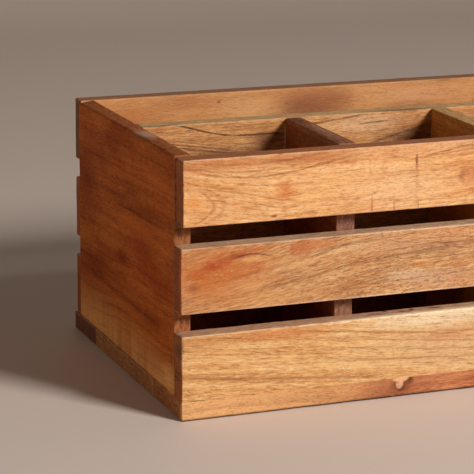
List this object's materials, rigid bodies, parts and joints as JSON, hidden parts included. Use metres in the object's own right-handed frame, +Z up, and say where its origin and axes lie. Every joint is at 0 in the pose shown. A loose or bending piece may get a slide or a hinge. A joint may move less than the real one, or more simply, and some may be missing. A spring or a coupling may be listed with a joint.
{
  "type": "utensil holder",
  "caption": "Open slatted wooden crate that stands on a table and keeps utensils in small front compartments and one long rear compartment.",
  "frame": {"origin": "middle of the footprint, on the underside that rests on the table", "axes": "+X along the length, to the right as seen from the front; +Y from the front slats to the back slats; +Z up"},
  "size_m": [0.305, 0.203, 0.152],
  "materials": {
    "slat_wood": "oiled satin",
    "panel_wood": "oiled satin",
    "inner_wood": "oiled satin",
    "base_wood": "oiled satin",
    "brad_steel": "drawn wire",
    "wood_filler": "sanded flush"
  },
  "bodies": {
    "root": {"base_plank_front": "base_wood", "base_plank_middle": "base_wood", "base_plank_rear": "base_wood", "left_end_panel": "panel_wood", "right_end_panel": "panel_wood", "front_slat_top": "slat_wood", "front_slat_middle": "slat_wood", "front_slat_bottom": "slat_wood", "back_slat_top": "slat_wood", "back_slat_middle": "slat_wood", "back_slat_bottom": "slat_wood", "middle_partition": "inner_wood", "left_divider": "inner_wood", "right_divider": "inner_wood", "front_slat_brads": "brad_steel", "front_slat_fillers": "wood_filler", "back_slat_brads": "brad_steel", "back_slat_fillers": "wood_filler", "end_panel_brads": "brad_steel", "end_panel_fillers": "wood_filler", "divider_brads": "brad_steel", "divider_fillers": "wood_filler", "base_brads": "brad_steel", "base_fillers": "wood_filler"}
  },
  "joints": []
}
